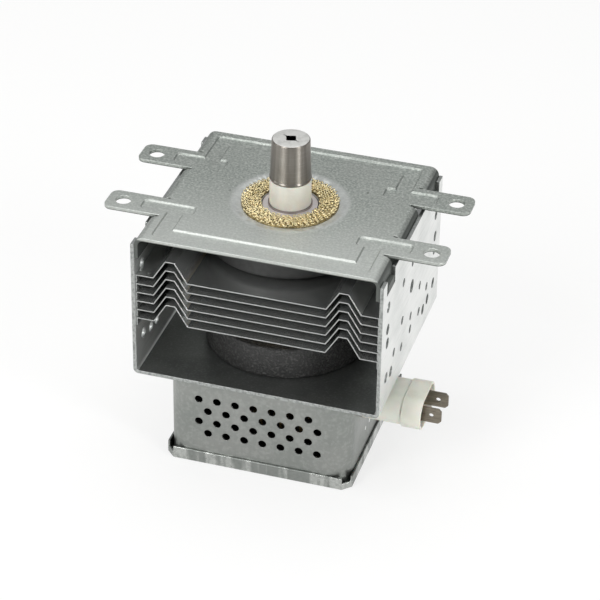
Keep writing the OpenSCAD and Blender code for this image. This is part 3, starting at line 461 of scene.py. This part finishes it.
def eased_copy(node: str, ease_mm: float, finish: Finish, slot: str) -> bpy.types.Object:
    """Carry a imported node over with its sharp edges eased, as shearing and pressing leave them.

    Args:
        node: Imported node.
        ease_mm: Width of the eased edge.
        finish: Finish of the piece.
        slot: Material slot of the record.

    Returns:
        The piece that stands for the node.
    """
    bm = bmesh.new()
    bm.from_mesh(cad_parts[node].data)
    bmesh.ops.remove_doubles(bm, verts=bm.verts, dist=PACKED_MERGE)
    bmesh.ops.dissolve_limit(bm, angle_limit=FLAT_ANGLE, use_dissolve_boundaries=False,
                             verts=bm.verts, edges=bm.edges)
    piece = add_piece(node + "_eased", bm, finish, slot, node)
    ease = piece.modifiers.new("eased_edges", "BEVEL")
    ease.width = ease_mm * MM
    ease.segments = EASE_SEGMENTS
    ease.limit_method = "ANGLE"
    ease.angle_limit = SMOOTH_ANGLE
    ease.use_clamp_overlap = False
    ease.loop_slide = False
    flats = piece.modifiers.new("flat_faces", "WEIGHTED_NORMAL")
    flats.weight = FLAT_FACE_WEIGHT
    return piece


def turned(profile: Profile, steps: int = ROUND_STEPS, closed: bool = True) -> bmesh.types.BMesh:
    """Turn a profile round the antenna axis.

    Args:
        profile: Points as radius and height, in millimetres.
        steps: Number of steps round the axis.
        closed: Whether the last point joins the first.

    Returns:
        The turned mesh.
    """
    bm = bmesh.new()
    points = [bm.verts.new((r * MM, 0.0, z * MM)) for r, z in profile]
    following = points[1:] + (points[:1] if closed else [])
    edges = [bm.edges.new(pair) for pair in zip(points, following)]
    bmesh.ops.spin(bm, geom=points + edges, cent=(0, 0, 0), axis=(0, 0, 1), dvec=(0, 0, 0),
                   angle=2 * math.pi, steps=steps, use_merge=True)
    bmesh.ops.remove_doubles(bm, verts=bm.verts, dist=SEAM_MERGE)
    bmesh.ops.recalc_face_normals(bm, faces=bm.faces)
    return bm


def ease_rings(bm: bmesh.types.BMesh, ease_mm: float, segments: int = 3) -> None:
    """Round the sharp edges of a turned mesh, in place.

    Args:
        bm: Turned mesh.
        ease_mm: Width of the rounding.
        segments: Number of faces across it.
    """
    sharp = [e for e in bm.edges if e.is_manifold and e.calc_face_angle() > SMOOTH_ANGLE]
    bmesh.ops.bevel(bm, geom=sharp, offset=ease_mm * MM, offset_type="OFFSET", affect="EDGES",
                    segments=segments, profile=0.5, clamp_overlap=True, material=-1)


def arc(centre: tuple[float, float], radius: float, start: float, end: float,
        steps: int) -> list[tuple[float, float]]:
    """Follow an arc of a profile.

    Args:
        centre: Radius and height of its centre, in millimetres.
        radius: Its radius in millimetres.
        start: Angle of its first point, in degrees.
        end: Angle of its last point, in degrees.
        steps: Number of steps between them.

    Returns:
        Points as radius and height, in millimetres.
    """
    angles = [math.radians(start + (end - start) * i / steps) for i in range(steps + 1)]
    return [(centre[0] + radius * math.cos(a), centre[1] + radius * math.sin(a)) for a in angles]


@dataclass
class Yoke:
    """Top plate and bent frame that carry the magnetic field round the tube."""

    plate_ease_mm: float = 0.2
    frame_ease_mm: float = 0.2
    wall_in_mm: float = 45.2
    floor_area: float = 1000e-6

    def is_cut(self, face: bpy.types.MeshPolygon) -> bool:
        """Tell whether a face of the frame was cut.

        Args:
            face: Face of the frame.

        Returns:
            Whether it is a sheared edge or the wall of a punched hole.
        """
        in_wall = abs(face.center.x) > self.wall_in_mm * MM
        across = abs(face.normal.x) < ASKEW and face.normal.z > -FACING
        return abs(face.normal.y) > FACING or (in_wall and across)

    def build(self) -> list[bpy.types.Object]:
        """Carry both sheets over with eased edges.

        Returns:
            Top plate and frame.
        """
        plate = eased_copy("yoke_top", self.plate_ease_mm, PLATE_ZINC, "plate_zinc")
        bent = eased_copy("yoke_frame", self.frame_ease_mm, FRAME_ZINC, "frame_zinc")
        paint(bent, SHEARED_STEEL, self.is_cut)
        # painted shade: the frame's floor under the fins and magnets is darker
        paint(bent, SHADED_FLOOR_ZINC, lambda face: face.normal.z > FACING and face.area > self.floor_area)
        return [plate, bent]


@dataclass
class FinStack:
    """Aluminium fins pressed on the anode."""

    count: int = 6
    ease_mm: float = 0.1

    def build(self) -> list[bpy.types.Object]:
        """Carry every fin over, with dull sheared edges at the front and rear.

        Returns:
            The fins, from the first to the last.
        """
        fins = []
        for k in range(1, self.count + 1):
            fin = eased_copy(f"cooling_fin_{k}", self.ease_mm, FIN_ALUMINIUM, "fin_aluminium")
            paint(fin, SHEARED_ALUMINIUM, lambda face: abs(face.normal.y) > MOSTLY_FACING)
            fins.append(fin)
        return fins


@dataclass
class MagnetPair:
    """Ferrite rings above and below the fins."""

    bore_r: float = 11.0
    chamfer: float = 0.8
    ease_mm: float = 0.25
    steps: int = 128

    def ring(self, node: str, finish: Finish) -> bpy.types.Object:
        """Turn one ring with a chamfer and worn edges.

        Args:
            node: Packed ring.
            finish: Its finish.

        Returns:
            The piece that stands for the ring.
        """
        low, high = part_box(node)
        r, z0, z1, c = high.x / MM, low.z / MM, high.z / MM, self.chamfer
        outside = [(r - c, z0), (r, z0 + c), (r, z1 - c), (r - c, z1)]
        bm = turned([(self.bore_r, z0), *outside, (self.bore_r, z1)], self.steps)
        ease_rings(bm, self.ease_mm)
        return add_piece(node + "_ring", bm, finish, "ferrite", node)

    def build(self) -> list[bpy.types.Object]:
        """Turn both rings.

        Returns:
            Upper and lower ring.
        """
        return [self.ring("upper_magnet", GROUND_FERRITE), self.ring("lower_magnet", RAW_FERRITE)]


@dataclass
class Antenna:
    """Output seal, insulator, cap and mesh gasket on the top plate.

    Sizes are in millimetres and angles in degrees. inner_bend is what the cap's inner corner adds to
    cap_edge inwards and downwards. flank holds points of the cap's side, as inset from the lip and
    height above it. core_insets and core_top shape the gasket's pressed core. The values from
    reach_range to wave_phase are those of one stitch: how far its loop reaches, how much it strays
    upwards, across and along the course, how its feet overlap, and how the wire rises and falls.
    """

    seal_ease: float = 0.12
    ceramic_in_r: float = 5.6
    ceramic_ease: float = 0.2
    lip_r: float = 7.5
    lip_inset: float = 0.12
    top_r: float = 6.95
    cap_wall: float = 0.5
    cap_edge: float = 0.6
    edge_angle: float = 4.0
    inner_bend: tuple[float, float] = (0.1, 0.2)
    bead_r: float = 0.45
    bead_lift: float = 0.7
    bead_angle: float = 48.0
    flank: Profile = ((0.06, 1.2), (0.05, 1.6), (0.28, 8.0))
    sharp_angle: float = 50.0
    hole_side: float = 3.5
    hole_turn: float = 17.0
    hole_rim_r: float = 4.4
    hole_corner_power: int = 9
    gasket_in_r: float = 10.15
    core_insets: tuple[float, float, float] = (0.5, 0.9, 1.3)
    core_top: float = 0.1
    wire_r: float = 0.24
    reach_mm: float = 1.0
    stitch_mm: float = 2.05
    stitch_points: int = 12
    courses: int = 6
    seed: int = 7
    reach_range: tuple[float, float] = (0.55, 1.2)
    lift: float = 0.12
    drift: float = 0.3
    slip: float = 0.2
    overlap: float = 0.17
    mid_height: float = 0.43
    wave: float = 0.2
    wave_phase: float = 0.6

    def ceramic(self) -> bpy.types.Object:
        """Turn the insulator with ground edges.

        Returns:
            The piece that stands for the insulator.
        """
        low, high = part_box("antenna_ceramic")
        r, z0, z1 = high.x / MM, low.z / MM, high.z / MM
        bm = turned([(self.ceramic_in_r, z0), (r, z0), (r, z1), (self.ceramic_in_r, z1)])
        ease_rings(bm, self.ceramic_ease)
        return add_piece("antenna_insulator", bm, ALUMINA, "alumina", "antenna_ceramic")

    def square_loop(self, bm: bmesh.types.BMesh, height: float, steps: int) -> list[bmesh.types.BMEdge]:
        """Lay a loop of edges round the cap's square hole.

        Args:
            bm: Mesh of the cap.
            height: Height of the loop in millimetres.
            steps: Number of points in the loop.

        Returns:
            The edges of the loop.
        """
        made = bmesh.ops.create_circle(bm, segments=steps, radius=1.0)["verts"]
        half = self.hole_side / 2 * MM
        unturn = Matrix.Rotation(-math.radians(self.hole_turn), 3, "Z")
        power = self.hole_corner_power
        for vert in made:
            local = unturn @ vert.co
            reach = (abs(local.x) ** power + abs(local.y) ** power) ** (1 / power)
            vert.co = vert.co * half / reach + Vector((0, 0, height * MM))
        inside = set(made)
        return [e for e in bm.edges if inside.issuperset(e.verts)]

    def cap(self) -> bpy.types.Object:
        """Turn the drawn cap, with its rolled lip and the square hole in its top.

        Returns:
            The piece that stands for the cap.
        """
        low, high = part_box("antenna_cap")
        z0, z1, t, edge = low.z / MM, high.z / MM, self.cap_wall, self.cap_edge
        lip_r, top_r, (bend_in, bend_down) = self.lip_r, self.top_r, self.inner_bend
        profile = [(self.hole_rim_r, z1 - t), (top_r - edge - bend_in, z1 - t),
                   (top_r - t, z1 - edge - bend_down), (lip_r - t, z0), (lip_r - self.lip_inset, z0)]
        bead = (lip_r - self.bead_r / 2, z0 + self.bead_lift)
        profile += arc(bead, self.bead_r, -self.bead_angle, self.bead_angle, steps=8)
        profile += [(lip_r - inset, z0 + rise) for inset, rise in self.flank]
        profile += arc((top_r - edge, z1 - edge), edge, self.edge_angle, 90, steps=6)
        profile += [(self.hole_rim_r, z1)]
        bm = turned(profile, closed=False)
        rims = [e for e in bm.edges if e.is_boundary]
        upper = [e for e in rims if e.verts[0].co.z > (z1 - t / 2) * MM]
        lower = [e for e in rims if e.verts[0].co.z < (z1 - t / 2) * MM]
        square_top = self.square_loop(bm, z1, ROUND_STEPS)
        square_low = self.square_loop(bm, z1 - t, ROUND_STEPS)
        for pair in ((upper, square_top), (square_top, square_low), (square_low, lower)):
            bmesh.ops.bridge_loops(bm, edges=[*pair[0], *pair[1]])
        bmesh.ops.recalc_face_normals(bm, faces=bm.faces)
        piece = add_piece("antenna_cap_drawn", bm, DRAWN_STAINLESS, "antenna_steel", "antenna_cap")
        # painted light: the up-facing top is paler
        paint(piece, TUMBLED_TOP_LIT_STAINLESS, lambda face: face.normal.z > MOSTLY_FACING)
        piece.data.set_sharp_from_angle(angle=math.radians(self.sharp_angle))
        return piece

    def course(self, radius: float, phase: float, chance: random.Random) -> list[Vector]:
        """Follow the wire of one knitted course.

        Args:
            radius: Mean radius of the course in millimetres.
            phase: Turn of its first stitch, as a share of a stitch.
            chance: Source of the small irregularities.

        Returns:
            Points of the closed wire, in metres.
        """
        stitches, points = round(2 * math.pi * radius / self.stitch_mm), self.stitch_points
        path = []
        for stitch in range(stitches):
            reach = self.reach_mm * chance.uniform(*self.reach_range)
            lift = chance.uniform(-self.lift, self.lift)
            drift = chance.uniform(-self.drift, self.drift)
            slip = chance.uniform(-self.slip, self.slip)
            for i in range(points):
                t = 2 * math.pi * i / points
                sway = math.sin(t / 2)
                swing = self.overlap * math.sin(2 * t)
                along = (stitch + phase + slip * sway + i / points + swing) / stitches
                r = radius + drift * sway + reach * math.cos(t)
                z = self.mid_height + lift + self.wave * math.cos(2 * t + self.wave_phase)
                a = 2 * math.pi * along
                path.append(Vector((r * math.cos(a), r * math.sin(a), z)) * MM)
        return path

    def gasket(self) -> bpy.types.Object:
        """Knit the mesh gasket: interlaced courses of brass wire over their pressed core.

        Returns:
            The piece that stands for the gasket.
        """
        low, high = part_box("rf_gasket")
        inner, outer, base = self.gasket_in_r, high.x / MM, low.z / MM
        chance = random.Random(self.seed)
        foot, side, top = self.core_insets
        bm = turned([(inner + foot, base), (outer - foot, base), (outer - side, 0.0),
                     (outer - top, self.core_top), (inner + top, self.core_top), (inner + side, 0.0)])
        curve = bpy.data.curves.new("gasket_wire", "CURVE")
        curve.dimensions = "3D"
        curve.bevel_depth = self.wire_r * MM
        curve.bevel_resolution = 0
        margin = self.reach_range[1] * self.reach_mm + self.wire_r
        for k in range(self.courses):
            radius = inner + margin + (outer - inner - 2 * margin) * k / (self.courses - 1)
            path = self.course(radius, 0.5 * (k % 2), chance)
            spline = curve.splines.new("POLY")
            spline.points.add(len(path) - 1)
            for point, place in zip(spline.points, path):
                point.co = (*place, 1.0)
            spline.use_cyclic_u = True
        wire = bpy.data.objects.new("gasket_wire", curve)
        knitted = wire.to_mesh()
        bm.from_mesh(knitted)
        wire.to_mesh_clear()
        bpy.data.objects.remove(wire)
        return add_piece("rf_gasket_knitted", bm, BRASS_WIRE, "gasket_brass", "rf_gasket")

    def build(self) -> list[bpy.types.Object]:
        """Make every piece of the antenna.

        Returns:
            Seal cup, insulator, cap and gasket.
        """
        dress_node("exhaust_tube", COPPER)
        return [eased_copy("output_seal_cup", self.seal_ease, SEAL_NICKEL, "seal_steel"),
                self.ceramic(), self.cap(), self.gasket()]


@dataclass
class FilterBox:
    """Perforated case, lid and feed-through capacitor with its tabs."""

    axis_mm: tuple[float, float, float] = (35.0, -12.3, -69.3)
    skirt_start: float = 15.0
    skirt_end: float = 22.5
    skirt_r: float = 6.4
    skirt_wall: float = 1.0
    skirt_ease: float = 0.25
    oval_shift: float = 4.7
    case_ease: float = 0.14
    lid_ease: float = 0.2
    body_ease: float = 0.25
    tab_ease: float = 0.1

    def skirt(self) -> bpy.types.Object:
        """Turn the skirt with rounded rims and draw it out to an oval.

        Returns:
            The piece that stands for the skirt.
        """
        inner = self.skirt_r - self.skirt_wall
        bm = turned([(inner, self.skirt_start), (self.skirt_r, self.skirt_start),
                     (self.skirt_r, self.skirt_end), (inner, self.skirt_end)])
        ease_rings(bm, self.skirt_ease)
        for side in (-1, 1):
            half = [v for v in bm.verts if side * v.co.y > ON_AXIS]
            bmesh.ops.translate(bm, verts=half, vec=(0, side * self.oval_shift * MM, 0))
        place = Matrix.Translation(Vector(self.axis_mm) * MM) @ Matrix.Rotation(math.pi / 2, 4, "Y")
        bmesh.ops.transform(bm, matrix=place, verts=bm.verts)
        return add_piece("capacitor_skirt_moulded", bm, SKIRT_PLASTIC, "skirt_plastic", "capacitor_skirt")

    def build(self) -> list[bpy.types.Object]:
        """Make every piece of the filter box.

        Returns:
            Case, lid, capacitor, skirt and both tabs.
        """
        dress_node("capacitor_plate", FRAME_ZINC)
        for side in ("front", "rear"):
            dress_node(f"choke_coil_{side}", COPPER)
            dress_node(f"choke_core_{side}", GROUND_FERRITE)
        return [
            eased_copy("filter_case", self.case_ease, CASE_ZINC, "case_zinc"),
            eased_copy("filter_lid", self.lid_ease, LID_ZINC, "lid_zinc"),
            eased_copy("capacitor_body", self.body_ease, CAST_RESIN, "capacitor_resin"),
            self.skirt(),
            eased_copy("terminal_tab_front", self.tab_ease, TAB_METAL, "tab_metal"),
            eased_copy("terminal_tab_rear", self.tab_ease, TAB_METAL, "tab_metal"),
        ]


@dataclass
class TubeInside:
    """Sealed pieces of the vacuum tube, which stay as packed."""

    finishes: tuple[tuple[Finish, tuple[str, ...]], ...] = (
        # painted gleam: the anode is a pale copy of copper
        (OXIDE_AND_GLEAM_COPPER, ("anode_cylinder",)),
        (COPPER, ("anode_vanes", "strap_rings", "antenna_lead")),
        (POLE_STEEL, ("upper_pole_piece", "lower_pole_piece")),
        (CATHODE_METAL, ("filament", "upper_end_hat", "lower_end_hat", "centre_lead", "side_lead")),
        (SEAL_NICKEL, ("stem_seal_cup", "stem_terminal_centre", "stem_terminal_side")),
        (ALUMINA, ("stem_ceramic",)),
    )

    def dress(self) -> None:
        """Give every inner node its finish."""
        for finish, nodes in self.finishes:
            for node in nodes:
                dress_node(node, finish)


@dataclass(frozen=True)
class Softbox:
    """Rectangular lamp: place and size in metres, power in watts."""

    name: str
    place: tuple[float, float, float]
    size: tuple[float, float]
    watts: float

    def hang(self, aim: Vector) -> None:
        """Hang the lamp.

        Args:
            aim: Point that it looks at, in metres.
        """
        data = bpy.data.lights.new(self.name, "AREA")
        data.shape, data.energy = "RECTANGLE", self.watts
        data.size, data.size_y = self.size
        lamp = bpy.data.objects.new(self.name, data)
        lamp.location = self.place
        lamp.rotation_euler = (aim - Vector(self.place)).to_track_quat("-Z", "Y").to_euler()
        bpy.context.scene.collection.objects.link(lamp)


@dataclass
class Studio:
    """Camera, lamps, world and floor.

    The camera's eye, axes and lens are those of the photo. Of the glows, floor_glow is what the camera
    sees of the floor's own white, and mirrored_glow and rear_glow what the metal mirrors of it, at the
    front and at the rear.
    """

    lamps: tuple[Softbox, ...] = (
        Softbox("front_softbox", (-0.52, -0.98, 0.74), (0.5, 0.7), 8.5),
        Softbox("left_softbox", (-0.95, -0.30, 0.40), (0.2, 0.6), 0.8),
        Softbox("right_softbox", (0.86, -0.44, 0.40), (0.2, 0.6), 4.2),
        Softbox("overhead_softbox", (-0.1, 0.2, 1.0), (1.1, 0.9), 7.0),
    )
    aim_mm: tuple[float, float, float] = (0.0, 0.0, -35.0)
    eye_mm: tuple[float, float, float] = (224.2, -736.7, 459.4)
    right: tuple[float, float, float] = (0.95545, 0.29485, 0.01418)
    down: tuple[float, float, float] = (0.17236, -0.51824, -0.83770)
    forward: tuple[float, float, float] = (-0.23964, 0.80282, -0.54596)
    lens_mm: float = 148.86
    sensor_mm: float = 36.0
    clip_m: tuple[float, float] = (0.05, 50.0)
    floor_half_m: float = 4.0
    floor_squares: int = 8
    floor_gap_mm: float = 0.2
    ambient: float = 0.32
    floor_glow: float = 0.72
    mirrored_glow: float = 0.35
    rear_glow: float = 0.95
    rear_from_mm: float = -30.0
    rear_to_mm: float = 30.0

    def camera(self) -> None:
        """Set the camera where the photographer stood."""
        data = bpy.data.cameras.new("studio_camera")
        data.lens, data.sensor_width = self.lens_mm, self.sensor_mm
        data.clip_start, data.clip_end = self.clip_m
        camera = bpy.data.objects.new("studio_camera", data)
        axes = Matrix((self.right, [-v for v in self.down], [-v for v in self.forward])).transposed()
        camera.matrix_world = Matrix.Translation(Vector(self.eye_mm) * MM) @ axes.to_4x4()
        bpy.context.scene.collection.objects.link(camera)
        bpy.context.scene.camera = camera

    def world(self) -> None:
        """Light the room evenly, with a white backdrop for the camera."""
        world = bpy.data.worlds.new("studio_room")
        bpy.context.scene.world = world
        world.use_nodes = True
        tree = world.node_tree
        tree.nodes.clear()
        rays = add_node(tree, "LightPath")
        room = add_node(tree, "Background", {"Color": linear(ROOM_WHITE), "Strength": self.ambient})
        backdrop = add_node(tree, "Background", {"Color": (1, 1, 1, 1), "Strength": 1.0})
        seen = add_node(tree, "MixShader", {
            0: rays.outputs["Is Camera Ray"], 1: room.outputs[0], 2: backdrop.outputs[0],
        })
        add_node(tree, "OutputWorld", {"Surface": seen.outputs[0]})

    def floor(self) -> None:
        """Lay a white paper floor that shows nearly white and keeps the object's shadow.

        Its rear, which the right sides of the metal mirror, is lit as by a background lamp.
        """
        bm = bmesh.new()
        bmesh.ops.create_grid(bm, x_segments=self.floor_squares, y_segments=self.floor_squares,
                              size=self.floor_half_m)
        bmesh.ops.translate(bm, verts=bm.verts, vec=(0, 0, CAD_BOX[0][2] - self.floor_gap_mm * MM))
        mesh = bpy.data.meshes.new("studio_floor")
        bm.to_mesh(mesh)
        bm.free()
        material = bpy.data.materials.new("matt_floor_paper")
        material.use_nodes = True
        tree = material.node_tree
        tree.nodes.clear()
        rays = add_node(tree, "LightPath")
        paper = add_node(tree, "BsdfDiffuse", {"Color": linear(FLOOR_WHITE)})
        glow = add_node(tree, "Emission", {"Color": (1, 1, 1, 1), "Strength": 1.0})
        place = add_node(tree, "TexCoord").outputs["Object"]
        depth = add_node(tree, "SeparateXYZ", {"Vector": place}).outputs["Y"]
        lit = add_node(tree, "MapRange", {
            "Value": depth, "From Min": self.rear_from_mm * MM, "From Max": self.rear_to_mm * MM,
            "To Min": self.mirrored_glow, "To Max": self.rear_glow,
        })
        mirrored = add_node(tree, "Math", {0: rays.outputs["Is Glossy Ray"], 1: lit.outputs[0]},
                            operation="MULTIPLY")
        share = add_node(tree, "Math", {
            0: rays.outputs["Is Camera Ray"], 1: self.floor_glow, 2: mirrored.outputs[0],
        }, operation="MULTIPLY_ADD")
        mixed = add_node(tree, "MixShader", {0: share.outputs[0], 1: paper.outputs[0], 2: glow.outputs[0]})
        add_node(tree, "OutputMaterial", {"Surface": mixed.outputs[0]})
        mesh.materials.append(material)
        floor = bpy.data.objects.new("studio_floor", mesh)
        bpy.context.scene.collection.objects.link(floor)

    def build(self) -> None:
        """Set up the whole studio."""
        self.camera()
        self.world()
        self.floor()
        for lamp in self.lamps:
            lamp.hang(Vector(self.aim_mm) * MM)
        bpy.context.scene.view_settings.view_transform = "Standard"
        log.info("studio ready")


def main() -> None:
    Studio().build()
    made: list[bpy.types.Object] = []
    for assembly in (Yoke(), FinStack(), MagnetPair(), Antenna(), FilterBox()):
        made += assembly.build()
    TubeInside().dress()
    log.info("%d pieces made", len(made))


if __name__ == "__main__":
    main()
